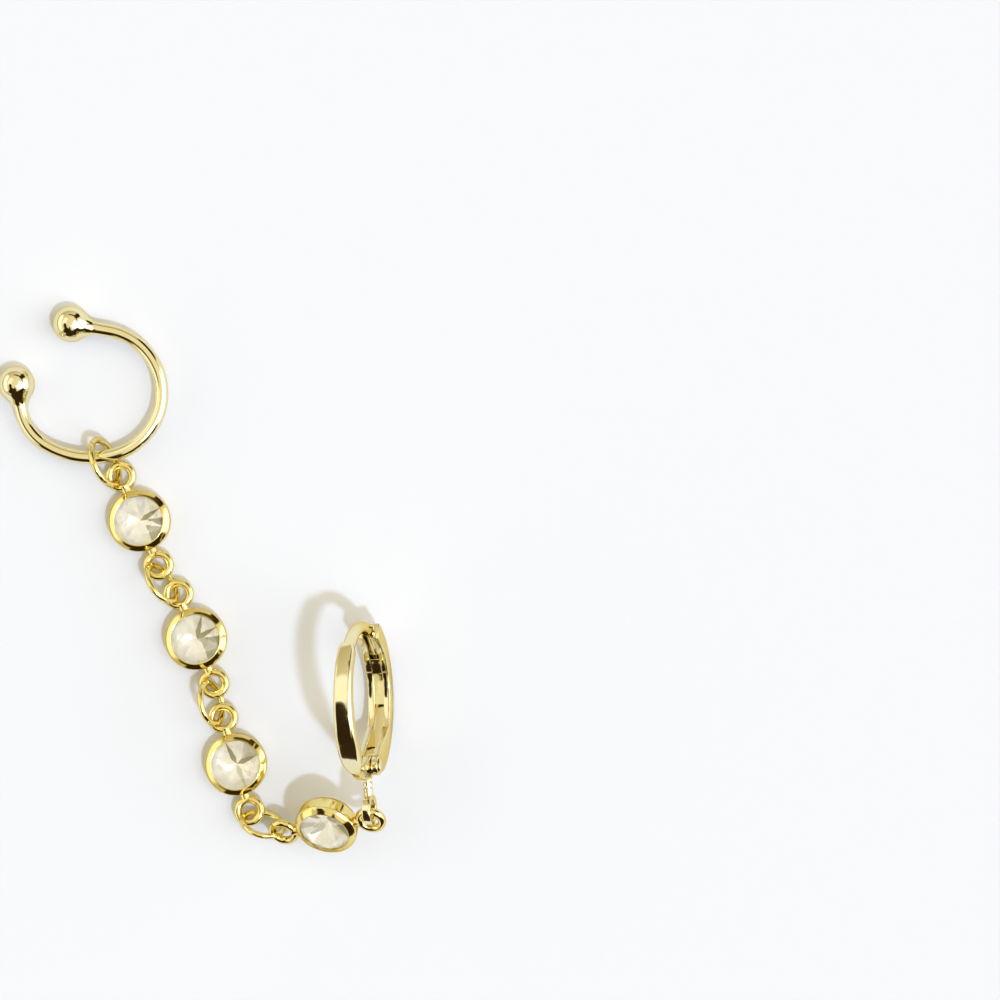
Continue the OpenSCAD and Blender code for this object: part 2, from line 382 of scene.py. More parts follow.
@dataclass(frozen=True)
class MattePaper(Finish):
    """Coated white paper: a plain pale surface, matte, with a fine and very low tooth."""

    colour: str = "#e3e3e3"
    roughness: float = 0.85
    gloss: float = 0.15
    tooth_mm: float = 0.35
    tooth_depth_mm: float = 0.01
    tooth_share: float = 0.1

    def inputs(self, tree: Tree) -> Inputs:
        """The shader's inputs.

        Args:
            tree: the material's tree.

        Returns:
            A matte white with the tooth in its bump.
        """
        tooth = {
            "Strength": self.tooth_share,
            "Distance": self.tooth_depth_mm * MM,
            "Height": self.mottle(tree, self.tooth_mm, 2.0),
        }
        return {
            "Base Color": linear_colour(self.colour),
            "Roughness": self.roughness,
            "Specular IOR Level": self.gloss,
            "Normal": add_node(tree, "Bump", inputs=tooth),
        }


# Objects, outlines and meshes


def add_object(name: str, data: bpy.types.ID) -> bpy.types.Object:
    """Puts a new object into the scene.

    Args:
        name: the object's name.
        data: its mesh, light or camera.

    Returns:
        The object.
    """
    made = bpy.data.objects.new(name, data)
    bpy.context.scene.collection.objects.link(made)
    return made


def polar(radius: float, angle: float) -> Point:
    """The flat point at a radius and an angle in degrees."""
    return (radius * cos(radians(angle)), radius * sin(radians(angle)))


def direction(angle: float) -> Vector:
    """The level direction at an angle in degrees."""
    return Vector((*polar(1.0, angle), 0))


def arc(
    radius: float, start: float, end: float, middle: Point = (0.0, 0.0), step: float = 3.0
) -> list[Point]:
    """Points along an arc.

    Args:
        radius: the arc's radius.
        start: the first angle in degrees.
        end: the last angle in degrees.
        middle: the arc's middle.
        step: the largest angle between two points.

    Returns:
        The points, ends included.
    """
    count = max(2, ceil(abs(end - start) / step) + 1)
    points = [polar(radius, start + (end - start) * i / (count - 1)) for i in range(count)]
    return [(middle[0] + x, middle[1] + y) for x, y in points]


def rounded(outline: Outline, radius: float) -> list[Point]:
    """Rounds every corner of a closed outline.

    Args:
        outline: the corner points.
        radius: how far from the corner the rounding starts, at most a third of a side.

    Returns:
        The new outline.
    """
    made: list[Point] = []
    count = len(outline)
    for i, here in enumerate(outline):
        corner = Vector(here)
        back = Vector(outline[i - 1]) - corner
        ahead = Vector(outline[(i + 1) % count]) - corner
        reach = min(radius, back.length / 3, ahead.length / 3)
        start = corner + back.normalized() * reach
        end = corner + ahead.normalized() * reach
        for k in range(CORNER_SIDES + 1):
            t = k / CORNER_SIDES
            spot = start * (1 - t) ** 2 + corner * (2 * t * (1 - t)) + end * t**2
            made.append((spot.x, spot.y))
    return made


def smooth_step(value: float) -> float:
    """A soft ramp from 0 to 1."""
    t = min(1.0, max(0.0, value))
    return t * t * (3 - 2 * t)


def wire_section(
    placing: Matrix, middle: Vector, side: Vector, radius: float, sides: int
) -> Ring:
    """Points round one cross-section of a level wire.

    Args:
        placing: where the level wire goes.
        middle: the wire's middle there, on the level.
        side: the level direction across the wire.
        radius: the wire's radius there.
        sides: how many points go round it.

    Returns:
        The points.
    """
    turns = [2 * pi * k / sides for k in range(sides)]
    return [placing @ (middle + side * (radius * cos(a)) + UP * (radius * sin(a))) for a in turns]


def standing(origin: Sequence[float], along: Sequence[float], facing: Sequence[float]) -> Matrix:
    """The placing that sets local X along one direction and local Z along another.

    Args:
        origin: where the local origin goes.
        along: where local X points.
        facing: where local Z points.

    Returns:
        The placing matrix.
    """
    z = Vector(facing).normalized()
    x = Vector(along)
    x = (x - z * x.dot(z)).normalized()
    y = z.cross(x)
    turned = Matrix((x, y, z)).transposed().to_4x4()
    return Matrix.Translation(Vector(origin)) @ turned


@dataclass
class Shape:
    """A mesh in the making, in millimetres, that gathers closed parts."""

    mesh: bmesh.types.BMesh = field(default_factory=bmesh.new)

    def loft(self, rings: Sequence[Sequence[Vector]], closed: bool = False) -> None:
        """Joins cross-sections into one closed skin.

        Args:
            rings: cross-sections with the same number of points.
            closed: whether the last one joins the first; open ends are capped.
        """
        rows = [[self.mesh.verts.new(p) for p in ring] for ring in rings]
        size = len(rows[0])
        for i in range(len(rows) if closed else len(rows) - 1):
            a, b = rows[i], rows[(i + 1) % len(rows)]
            for k in range(size):
                m = (k + 1) % size
                self.mesh.faces.new((a[k], a[m], b[m], b[k]))
        if not closed:
            self.mesh.faces.new(tuple(reversed(rows[0])))
            self.mesh.faces.new(tuple(rows[-1]))

    def turn(self, outline: Outline, placing: Matrix, sides: int, hollow: bool = True) -> None:
        """Adds a part turned about local Z.

        Args:
            outline: points of radius and height. A hollow part's is closed, and a full one's goes
                from one end of the axis to the other.
            placing: where the turned part goes.
            sides: how many steps round the turn has.
            hollow: whether the part leaves the axis free.
        """
        steps = [2 * pi * k / sides for k in range(sides)]
        grid = [[placing @ Vector((r * cos(a), r * sin(a), z)) for a in steps] for r, z in outline]
        self.loft(list(zip(*grid)) if hollow else grid, closed=hollow)

    def plate(
        self, outline: Outline, low: float, high: float, placing: Matrix, edge: float
    ) -> None:
        """Adds a flat plate with rounded edges, made from an outline.

        Args:
            outline: the plate's outline in local X and Y.
            low: the lower face's height.
            high: the upper face's height.
            placing: where the plate goes.
            edge: how wide the rounding of the edges is.
        """
        part = bmesh.new()
        below = [part.verts.new((x, y, low)) for x, y in outline]
        above = [part.verts.new((x, y, high)) for x, y in outline]
        part.faces.new(below)
        part.faces.new(above)
        for k in range(len(outline)):
            m = (k + 1) % len(outline)
            part.faces.new((below[k], below[m], above[m], above[k]))
        bmesh.ops.recalc_face_normals(part, faces=part.faces)
        bmesh.ops.bevel(
            part,
            geom=[e for e in part.edges if e.is_manifold and e.calc_face_angle() > ROUNDED_FROM],
            offset=edge,
            segments=EDGE_SIDES,
            profile=0.5,
            affect="EDGES",
            clamp_overlap=True,
        )
        part.transform(placing)
        held = bpy.data.meshes.new("held")
        part.to_mesh(held)
        part.free()
        self.mesh.from_mesh(held)
        bpy.data.meshes.remove(held)

    def piece(
        self,
        name: str,
        material: Material,
        body: Body,
        slot: Slot,
        stands_for: Sequence[str],
        crisp: bool = False,
    ) -> None:
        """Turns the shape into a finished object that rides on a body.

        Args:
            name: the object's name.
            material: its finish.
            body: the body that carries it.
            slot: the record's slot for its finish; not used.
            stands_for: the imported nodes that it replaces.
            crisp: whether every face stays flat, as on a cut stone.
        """
        if not crisp:
            bmesh.ops.recalc_face_normals(self.mesh, faces=self.mesh.faces)
        bmesh.ops.scale(self.mesh, vec=(MM, MM, MM), verts=self.mesh.verts)
        data = bpy.data.meshes.new(name)
        self.mesh.to_mesh(data)
        self.mesh.free()
        data.materials.append(material)
        if crisp:
            data.shade_flat()
        else:
            data.shade_smooth()
            data.set_sharp_from_angle(angle=SHARP_FROM)
        made = add_object(name, data)
        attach(made, body.value)
        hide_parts(*stands_for)
        log.info("%s: %d faces", name, len(data.polygons))


# The cuff


@dataclass
class EarCuff:
    """Open cuff of round wire that swells into a ball at each end."""

    finish: Material
    wire_d: float = 1.1
    ball_d: float = 3.0
    joint: Point = (-6.72, 10.19)
    radii: Triple = (5.25, 7.45, 4.30)
    angles: tuple[float, ...] = (80.0, -75.0, -120.0, -170.0)
    tails: Point = (3.2, 2.12)
    # The wire's swelling beside a ball: how much, how far out it peaks, and how it fades
    flare: float = 0.42
    flare_reach: float = 0.62
    flare_peak: float = 1.55
    flare_spread: float = 1.1
    blend: float = 0.16
    # The sections: round each dome, along each ball's end, along the wire, and points in each
    dome_steps: int = 14
    end_steps: int = 43
    end_step: float = 0.07
    end_reach: float = 3.0
    wire_steps: int = 200
    sides: int = 40

    def start(self) -> Point:
        """The middle of the ball that the wire starts from.

        Returns:
            The flat point.
        """
        _, r2, r3 = self.radii
        _, a1, a2, a3 = self.angles
        x, y = self.joint
        for radius, angle in ((-r2, a1), (r2 - r3, a2), (r3, a3), (self.tails[1], a3 - 90)):
            step = polar(radius, angle)
            x, y = x + step[0], y + step[1]
        return (x, y)

    def bends(self) -> list[Point]:
        """The wire's stretches from ball to ball.

        Returns:
            The length and the radius of each; the radius of a straight one is zero.
        """
        r1, r2, r3 = self.radii
        a0, a1, a2, a3 = self.angles
        curved = ((a2 - a3, r3), (a1 - a2, r2), (a0 - a1, r1))
        bent = [(radians(angle) * radius, radius) for angle, radius in curved]
        return [(self.tails[1], 0.0), *bent, (self.tails[0], 0.0)]

    def spot(self, distance: float) -> tuple[Vector, float]:
        """A place on the wire's middle line.

        Args:
            distance: how far from the first ball's middle; before it and past the last ball's
                middle, the line goes on straight.

        Returns:
            The place and the heading in radians.
        """
        x, y = self.start()
        heading = radians(self.angles[3] + 90)
        left = distance
        bends = self.bends()
        for i, (length, radius) in enumerate(bends):
            straight_on = i == len(bends) - 1 or (i == 0 and left < 0)
            part = left if straight_on else min(left, length)
            if radius:
                turn = part / radius
                x += radius * (sin(heading + turn) - sin(heading))
                y -= radius * (cos(heading + turn) - cos(heading))
                heading += turn
            else:
                x += part * cos(heading)
                y += part * sin(heading)
            left -= part
            if abs(left) < 1e-9:
                break
        return Vector((x, y, self.ball_d / 2)), heading

    def girth(self, from_ball: float) -> float:
        """The radius of the wire, the ball and its flare included.

        Args:
            from_ball: how far along the wire from the ball's middle; below zero past the ball.

        Returns:
            The radius.
        """
        ball = sqrt(max(0.0, (self.ball_d / 2) ** 2 - from_ball**2))
        if from_ball < 0:
            return ball
        off_peak = from_ball / self.flare_reach - self.flare_peak
        neck = self.wire_d / 2 + self.flare * exp(-(off_peak**2) / self.flare_spread)
        ease = max(0.0, self.blend - abs(ball - neck)) / self.blend
        return max(ball, neck) + ease * ease * self.blend / 4

    def build(self) -> None:
        """Makes the cuff as one smooth sweep."""
        total = sum(length for length, _ in self.bends())
        ball = self.ball_d / 2
        lobe = [pi / 2 * k / self.dome_steps for k in range(1, self.dome_steps)]
        first = [-ball * cos(a) for a in lobe]
        first += [k * self.end_step for k in range(self.end_steps)]
        between = (total - 2 * self.end_reach) / self.wire_steps
        wire = [self.end_reach + between * k for k in range(1, self.wire_steps)]
        rings = []
        for s in first + wire + [total - s for s in reversed(first)]:
            place, heading = self.spot(s)
            side = Vector((-sin(heading), cos(heading), 0))
            girth = self.girth(min(s, total - s))
            rings.append(wire_section(Matrix(), place, side, girth, self.sides))
        shape = Shape()
        shape.loft(rings)
        shape.piece("cuff_wire", self.finish, Body.CHAIN, Slot.PALE_GOLD, ["ear_cuff"])


# Jump rings


@dataclass
class JumpRing:
    """Round wire ring, bent shut, with the fine butt seam where its ends meet."""

    finish: Material
    node: str
    middle: Vector
    axis: Vector
    outside_d: float
    wire_d: float
    seam_turn: float = 90.0
    seam_w: float = 0.035
    seam_depth: float = 0.05
    # How much deeper the seam is in its middle
    seam_deeper: float = 1.2
    # Where the sections by the seam are, and where the others start, in half widths of the seam
    seam_stops: tuple[float, ...] = (-4.0, -1.6, -1.0, 0.0, 1.0, 1.6, 4.0)
    seam_clear: float = 5.0
    steps: int = 90
    sides: int = 28

    def build(self) -> None:
        """Makes the ring as a closed sweep."""
        placing = standing(self.middle, self.axis.orthogonal(), self.axis)
        ring_r = (self.outside_d - self.wire_d) / 2
        half = degrees(self.seam_w / 2 / ring_r)
        clear = self.seam_clear * half
        close = [stop * half for stop in self.seam_stops]
        wide = [clear + (360 - 2 * clear) * k / (self.steps - 1) for k in range(self.steps)]
        rings = []
        for turn in close + wide:
            cut = self.seam_depth if abs(turn) <= half else 0.0
            cut *= 1.0 if turn else self.seam_deeper
            out = direction(turn + self.seam_turn)
            r = self.wire_d / 2 - cut
            rings.append(wire_section(placing, out * ring_r, out, r, self.sides))
        shape = Shape()
        shape.loft(rings, closed=True)
        name = f"{self.node}_wire"
        shape.piece(name, self.finish, Body.CHAIN, Slot.YELLOW_GOLD, [self.node])


# Settings and stones


@dataclass
class Setting:
    """Bezel cup with a turned-over lip, a seat, an open back and a soldered loop on each end."""

    finish: Material
    number: int
    placing: Matrix
    outside_d: float = 5.15
    height: float = 1.85
    lip_d: float = 4.02
    seat_d: float = 4.3
    back_d: float = 1.8
    back_t: float = 0.4
    edge: float = 0.07
    cup_sides: int = 120
    # The cup's profile. Base: in from the outside, and up. Rim: in from the outside, and down
    # from the top. Lip and seat: out from their openings, and down from the top
    base: Outline = ((0.28, 0.0), (0.06, 0.35))
    rim: Outline = ((0.0, 0.7), (0.0, 0.42), (0.05, 0.33), (0.2, 0.21))
    lip: Outline = ((0.07, 0.02), (0.0, 0.04), (0.0, 0.12))
    seat: Outline = ((0.0, 0.22), (0.0, 0.5), (-0.25, 0.62))
    loop_z: float = 0.98
    loop_reach: float = 4.0
    loop_d: float = 2.58
    loop_wire_d: float = 0.66
    loop_sides: int = 64
    loop_step: float = 15.0
    # The neck: its radius, how far it sinks into the cup and the loop, and how it flares to each
    neck_r: float = 0.4
    neck_sunk: Point = (0.3, 0.05)
    neck_flares: Point = (0.14, 0.04)
    neck_steps: int = 14
    neck_sides: int = 36

    def cup(self) -> list[Point]:
        """The cup's cross-section, from the back opening round the outside and over the lip.

        Returns:
            Points of radius and height.
        """
        ro, top = self.outside_d / 2, self.height
        corners = [(self.back_d / 2, 0.0)]
        corners += [(ro - inset, up) for inset, up in self.base]
        corners += [(ro - inset, top - down) for inset, down in self.rim]
        corners += [(self.lip_d / 2 + out, top - down) for out, down in self.lip]
        corners += [(self.seat_d / 2 + out, top - down) for out, down in self.seat]
        return rounded([*corners, (self.back_d / 2, self.back_t)], self.edge)

    def loop_r(self) -> float:
        """The radius of a loop's middle line."""
        return (self.loop_d - self.loop_wire_d) / 2

    def neck(self) -> list[Point]:
        """The soldered neck between cup and loop, flared into both.

        Returns:
            Points of radius and distance from the cup's axis.
        """
        start = self.outside_d / 2 - self.neck_sunk[0]
        end = self.loop_reach - self.loop_r() + self.neck_sunk[1]
        points = []
        for k in range(self.neck_steps + 1):
            t = k / self.neck_steps
            flare = self.neck_flares[0 if t < 0.5 else 1] * (2 * t - 1) ** 4
            points.append((self.neck_r + flare, start + (end - start) * t))
        return points

    def build(self) -> None:
        """Makes the cup, its necks and its loops as one piece."""
        shape = Shape()
        shape.turn(self.cup(), self.placing, self.cup_sides)
        last = 360 - self.loop_step
        section = arc(self.loop_wire_d / 2, 0, last, (self.loop_r(), 0.0), self.loop_step)
        for side in (-1, 1):
            at_loop = Matrix.Translation((side * self.loop_reach, 0, self.loop_z))
            shape.turn(section, self.placing @ at_loop, self.loop_sides)
            out = standing((0, 0, self.loop_z), (0, 0, 1), (side, 0, 0))
            shape.turn(self.neck(), self.placing @ out, self.neck_sides, hollow=False)
        name = f"setting_{self.number}"
        shape.piece(f"{name}_bezel", self.finish, Body.CHAIN, Slot.YELLOW_GOLD, [name])


@dataclass
class Brilliant:
    """Round brilliant: a table, 32 crown facets, a faceted girdle and 24 pavilion facets."""

    crown: Material
    pavilion: Material
    number: int
    placing: Matrix
    girdle_d: float = 4.2
    table_d: float = 2.4
    girdle_z: float = 1.55
    girdle_t: float = 0.08
    crown_h: float = 0.55
    culet_z: float = 0.16
    turn: float = 9.0
    # Half of the angle between two of the stone's eight sides
    half_side: float = 22.5
    # How far out the kites meet from table to girdle, and the pavilion's facets from the middle
    kite_share: float = 0.42
    deep_share: float = 0.28
    # Facet corners closer than this are one, in millimetres
    same_spot: float = 1e-5

    def ring(self, radius: float, height: float, count: int, start: float = 0.0) -> Ring:
        """Points spaced evenly round the stone's axis.

        Args:
            radius: how far from the axis.
            height: how high over the setting's base.
            count: how many points.
            start: the first one's angle.

        Returns:
            The points, placed and turned with the stone.
        """
        turned = self.placing @ Matrix.Rotation(radians(self.turn), 4, "Z")
        spots = [polar(radius, start + 360 * i / count) for i in range(count)]
        return [turned @ Vector((x, y, height)) for x, y in spots]

    def build(self) -> None:
        """Makes the stone as its clear crown and its pavilion with painted reflections."""
        rg, rt = self.girdle_d / 2, self.table_d / 2
        top, low = self.girdle_z + self.crown_h, self.girdle_z - self.girdle_t
        flat = cos(radians(self.half_side))
        rk, rp = rt + self.kite_share * (rg - rt), self.deep_share * rg
        kite_z = top - self.crown_h / (rg - rt) * (rk * flat - rt)
        deep_z = self.culet_z + (low - self.culet_z) / rg * rp * flat
        table = self.ring(rt, top, 8)
        kites = self.ring(rk, kite_z, 8, self.half_side)
        girdle = self.ring(rg, self.girdle_z, 16)
        under = self.ring(rg, low, 16)
        deep = self.ring(rp, deep_z, 8, self.half_side)
        culet = self.ring(0.0, self.culet_z, 1)[0]
        crown, pavilion = [table], []
        for i in range(8):
            n, a, b, c = (i + 1) % 8, 2 * i, 2 * i + 1, (2 * i + 2) % 16
            crown += [
                [table[i], kites[i], table[n]],
                [table[i], kites[i - 1], girdle[a], kites[i]],
                [kites[i], girdle[a], girdle[b]],
                [kites[i], girdle[b], girdle[c]],
                [girdle[a], under[a], under[b], girdle[b]],
                [girdle[b], under[b], under[c], girdle[c]],
            ]
            pavilion += [
                [under[a], deep[i], under[b]],
                [under[b], deep[i], under[c]],
                [under[a], deep[i - 1], culet, deep[i]],
            ]
        name = f"stone_{self.number}"
        parts = (("crown", crown, self.crown), ("pavilion", pavilion, self.pavilion))
        for part, facets, finish in parts:
            shape = Shape()
            for facet in facets:
                shape.mesh.faces.new([shape.mesh.verts.new(p) for p in facet])
            bmesh.ops.remove_doubles(shape.mesh, verts=shape.mesh.verts, dist=self.same_spot)
            shape.piece(f"{name}_{part}", finish, Body.CHAIN, Slot.STONE, [name], crisp=True)


# The hoop


@dataclass(frozen=True)
class HoopPlace:
    """Where the hoop stands, and the radii and angles that its pieces share."""

    middle: Triple = (14.09, -9.68, 6.62)
    yaw: float = 2.1
    lean: float = 11.7
    outside_r: float = 6.5
    band_t: float = 1.0
    post_r: float = 5.8
    pin: Point = (5.45, -1.0)
    pin_d: float = 0.7
    ear_r: float = 0.8
    ear_step: float = 8.0
    channel_w: float = 0.8
    seat_gap: float = 0.05
    lever_w: float = 1.86
    lever_top: float = 203.0
    tip_end: float = 234.0

    def placing(self) -> Matrix:
        """From the hoop drawn flat, eyelet along X, to the hoop as it stands.

        Returns:
            The placing matrix.
        """
        upright = Matrix(((0, 0, -1), (-1, 0, 0), (0, 1, 0))).to_4x4()
        turned = Matrix.Rotation(radians(self.yaw), 4, "Z")
        leaned = Matrix.Rotation(radians(-self.lean), 4, "Y")
        return Matrix.Translation(self.middle) @ turned @ leaned @ upright

    def section(self, angle: float, outline: Outline) -> Ring:
        """One cross-section of a bar that runs round the hoop.

        Args:
            angle: where on the hoop it is, in degrees.
            outline: points across the hoop and out from its middle.

        Returns:
            The points on the standing hoop.
        """
        placing, out = self.placing(), direction(angle)
        return [placing @ (out * radius + UP * across) for across, radius in outline]


@dataclass
class HoopFront:
    """Front of the hoop: crowned band, ear post with a thin tip, hinge tongue, neck and eyelet."""

    finish: Material
    place: HoopPlace
    shape: Shape = field(default_factory=Shape)
    # The band: its first angle, how far it turns, and its half width at places along the hoop
    band_from: float = -9.0
    band_turn: float = 148.0
    band_steps: int = 120
    widths: Outline = (
        (-5.0, 0.35), (-4.2, 0.65), (4.0, 0.85), (4.7, 0.77), (5.4, 0.35), (7.2, 0.35)
    )
    flat_share: float = 0.74
    band_edge: float = 0.16
    # The post: where it starts and thins, and where its last full section and its dome are
    post_d: float = 1.0
    post_from: float = 129.0
    post_steps: int = 96
    post_sides: int = 36
    tip_d: float = 0.7
    thins_before: float = 4.5
    thins_over: float = 2.5
    last_before: float = 1.5
    dome_turn: float = 3.4
    dome_steps: int = 7
    # The tongue: its knuckle's angles, and its outline's back from the knuckle on
    knuckle: Point = (150.0, 300.0)
    tongue_back: Outline = (
        (6.0, -1.5), (6.35, -0.3), (6.2, 1.5), (5.6, 1.9), (5.2, 1.2)
    )
    tongue_edge: float = 0.05
    # The eyelet and its neck, with radii at distances from the neck's start
    eyelet_reach: float = 9.04
    eyelet_turn: float = -5.2
    eyelet_d: float = 2.5
    eyelet_t: float = 0.48
    eyelet_w: float = 0.7
    eyelet_edge: float = 0.12
    eyelet_sides: int = 72
    neck_sunk: Point = (0.5, 0.3)
    neck_end_r: float = 0.34
    neck_sides: int = 36
    collars: Outline = (
        (0.0, 0.37), (0.55, 0.39), (0.58, 0.23), (0.74, 0.23), (0.78, 0.4), (1.02, 0.4),
        (1.06, 0.23), (1.22, 0.23), (1.26, 0.39), (1.48, 0.39), (1.54, 0.34),
    )

    def half_width(self, x: float) -> float:
        """The band's half width, in straight steps between the chosen widths.

        Args:
            x: a place along the hoop's own X.

        Returns:
            The half width.
        """
        if x <= self.widths[0][0]:
            return self.widths[0][1]
        for (x0, w0), (x1, w1) in zip(self.widths, self.widths[1:]):
            if x <= x1:
                return w0 + (w1 - w0) * (x - x0) / (x1 - x0)
        return self.widths[-1][1]

    def band(self) -> None:
        """Adds the band: a bar with a flat front between two sloped shoulders."""
        outer = self.place.outside_r
        inner = outer - self.place.band_t
        rings = []
        for k in range(self.band_steps + 1):
            angle = self.band_from + self.band_turn * k / self.band_steps
            w = self.half_width(direction(angle).x * (outer + inner) / 2)
            flat, shoulder = self.flat_share * w, outer - (1 - self.flat_share) * w
            corners = [(-w, inner), (w, inner), (w, shoulder), (flat, outer)]
            corners += [(-flat, outer), (-w, shoulder)]
            rings.append(self.place.section(angle, rounded(corners, self.band_edge)))
        self.shape.loft(rings)

    def post(self) -> None:
        """Adds the ear post: round wire that thins to its tip and ends in a dome."""
        placing = self.place.placing()
        last = self.place.tip_end - self.last_before
        apart = (last - self.post_from) / self.post_steps
        stations = [(self.post_from + apart * k, 1.0) for k in range(self.post_steps + 1)]
        dome_from = self.place.tip_end - self.dome_turn
        for k in range(1, self.dome_steps):
            lift = pi / 2 * k / self.dome_steps
            stations.append((dome_from + self.dome_turn * sin(lift), cos(lift)))
        thins_from = self.place.lever_top - self.thins_before
        rings = []
        for angle, share in stations:
            thin = smooth_step((angle - thins_from) / self.thins_over)
            r = (self.post_d / 2 * (1 - thin) + self.tip_d / 2 * thin) * share
            out = direction(angle)
            middle = out * self.place.post_r
            rings.append(wire_section(placing, middle, out, r, self.post_sides))
        self.shape.loft(rings)

    def tongue(self) -> None:
        """Adds the hinge tongue between the lever's ears."""
        half = self.place.channel_w / 2 - self.place.seat_gap
        knuckle = arc(self.place.ear_r, *self.knuckle, self.place.pin, self.place.ear_step)
        outline = [*knuckle, *self.tongue_back]
        self.shape.plate(outline, -half, half, self.place.placing(), self.tongue_edge)

    def eyelet(self) -> None:
        """Adds the neck with its collars and the ring of the eyelet."""
        turn = Matrix.Rotation(radians(self.eyelet_turn), 4, "Z")
        turned = self.place.placing() @ turn
        ro, half = self.eyelet_d / 2, self.eyelet_w / 2
        ri = ro - self.eyelet_t
        ring = rounded([(ri, -half), (ro, -half), (ro, half), (ri, half)], self.eyelet_edge)
        at_ring = turned @ Matrix.Translation((self.eyelet_reach, 0, 0))
        self.shape.turn(ring, at_ring, self.eyelet_sides)
        start = self.place.outside_r - self.neck_sunk[0]
        end = self.eyelet_reach - ro + self.neck_sunk[1]
        outline = [(r, z) for z, r in (*self.collars, (end - start, self.neck_end_r))]
        outward = turned @ standing((start, 0, 0), (0, 0, 1), (1, 0, 0))
        self.shape.turn(outline, outward, self.neck_sides, hollow=False)

    def build(self) -> None:
        """Makes the hoop's front as one piece."""
        for part in (self.band, self.post, self.tongue, self.eyelet):
            part()
        self.shape.piece("hoop_band", self.finish, Body.CHAIN, Slot.PALE_GOLD, ["hoop_front"])


@dataclass
class Lever:
    """Back lever: two walls with ears, the tip's cover and stop, a sloped plate and a floor."""

    finish: Material
    place: HoopPlace
    wall_t: float = 1.25
    wall_edge: float = 0.1
    head_t: float = 1.3
    # Angles round the hoop: the wall's end, its inside's ends, and the pin's ear
    wall_end: float = 338.0
    inside: Point = (300.0, 250.0)
    head_end: float = 249.0
    ear: Point = (14.0, 193.0)
    # How far what closes the channel reaches into each wall, and lies inside the wall's outside
    let_in: float = 0.1
    skin: float = 0.01
    cover_gap: float = 0.3
    cover_t: float = 0.25
    cover_edge: float = 0.03
    stop_gap: float = 3.0
    stop_end: float = 252.0
    stop_t: float = 1.15
    stop_edge: float = 0.05
    plate: Point = (251.0, 279.0)
    plate_steps: int = 14
    plate_t: float = 1.05
    slope: float = 0.085
    floor: Point = (267.0, 318.0)
    floor_inside: Outline = ((4.5, -4.0), (4.2, -3.7), (0.6, -5.9), (-0.3, -5.9))
    floor_edge: float = 0.04

    def wall(self) -> list[Point]:
        """The outline of one wall, from the head round the outside to the ear and back inside.

        Returns:
            The flat points.
        """
        ro, top = self.place.outside_r, self.place.lever_top
        outside = arc(ro, top, self.wall_end)
        ear = arc(self.place.ear_r, *self.ear, self.place.pin, self.place.ear_step)
        inside = arc(ro - self.wall_t, *self.inside)
        head = arc(ro - self.head_t, self.head_end, top)
        return [*outside, *ear, *inside, *head]

    def build(self) -> None:
        """Makes the lever as one piece."""
        placing, ro = self.place.placing(), self.place.outside_r
        inner, outer = self.place.channel_w / 2, self.place.lever_w / 2
        shape = Shape()
        for low, high in ((inner, outer), (-outer, -inner)):
            shape.plate(self.wall(), low, high, placing, self.wall_edge)
        reach, skin = inner + self.let_in, ro - self.skin
        top, stop = self.place.lever_top + self.cover_gap, self.place.tip_end + self.stop_gap
        closings = (
            (top, stop + 1, self.cover_t, self.cover_edge),
            (stop, self.stop_end, self.stop_t, self.stop_edge),
        )
        for start, end, thick, edge in closings:
            outline = [*arc(skin, start, end), *arc(ro - thick, end, start)]
            shape.plate(outline, -reach, reach, placing, edge)
        under, face = ro - 2 * self.skin, ro - self.plate_t
        corners = [(-reach, under), (reach, under)]
        corners += [(reach, face - self.slope), (-reach, face + self.slope)]
        start, end = self.plate
        turns = [start + (end - start) * k / self.plate_steps for k in range(self.plate_steps + 1)]
        shape.loft([self.place.section(turn, corners) for turn in turns])
        floor = [*arc(skin, *self.floor), *self.floor_inside]
        shape.plate(floor, -reach, reach, placing, self.floor_edge)
        shape.piece("lever_channel", self.finish, Body.LEVER, Slot.PALE_GOLD, ["lever"])


@dataclass
class HingePin:
    """Rivet pin of the hinge with a low domed head on each side."""

    finish: Material
    place: HoopPlace
    # A head's outline: its radius at heights above the lever's side
    head: Outline = (
        (0.535, 0.0), (0.575, 0.04), (0.555, 0.1), (0.43125, 0.16), (0.23, 0.19), (0.02, 0.2)
    )
    sides: int = 40

    def build(self) -> None:
        """Makes the pin as one turned piece."""
        half = self.place.lever_w / 2 + self.place.seat_gap
        side = [(self.place.pin_d / 2, half), *((r, half + up) for r, up in self.head)]
        outline = [(r, -z) for r, z in reversed(side)] + side
        placing = self.place.placing() @ Matrix.Translation((*self.place.pin, 0))
        shape = Shape()
        shape.turn(outline, placing, self.sides, hollow=False)
        shape.piece("hinge_rivet", self.finish, Body.CHAIN, Slot.PALE_GOLD, ["hinge_pin"])


# Light, surface and view


@dataclass(frozen=True)
class Card:
    """A soft-edged patch of the surroundings, seen in the polish; it may taper upwards."""

    azimuth: float
    elevation: float
    half_w: float
    half_h: float
    level: float
    colour: str = "#ffffff"
    edge: float = 0.25
    taper: float = 0.0


